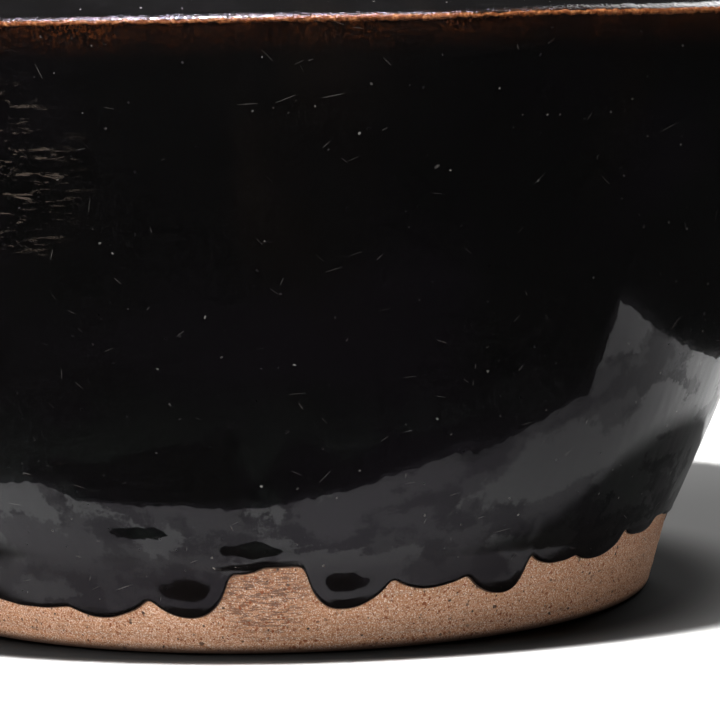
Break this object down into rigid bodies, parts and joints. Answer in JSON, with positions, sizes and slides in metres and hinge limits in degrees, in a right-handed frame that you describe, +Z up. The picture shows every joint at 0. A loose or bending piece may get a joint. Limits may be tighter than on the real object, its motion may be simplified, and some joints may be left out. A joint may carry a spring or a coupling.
{
  "type": "glazed storage jar",
  "caption": "Round black-glazed clay jar with a bare foot, glaze runs, a sharp shoulder edge, a short neck and a rolled lip.",
  "frame": {"origin": "middle of the foot, on the surface that the jar stands on", "axes": "+Z up along the turning axis; -Y is the front, the side with the glaze runs that the reference shows"},
  "size_m": [0.2728, 0.2728, 0.2069],
  "materials": {
    "clay": "bare fired stoneware with iron specks, matte",
    "black_glaze": "glossy black iron glaze, breaking rust brown at the shoulder edge and the lip",
    "lining_glaze": "glossy black-brown glaze lining"
  },
  "bodies": {
    "root": {"base_disc": "clay", "lower_wall": "clay", "belly_wall": "clay", "shoulder_section": "clay", "neck_collar": "clay", "rolled_lip": "clay", "wall_glaze": "black_glaze", "shoulder_glaze": "black_glaze", "lining_glaze": "lining_glaze"}
  },
  "joints": []
}
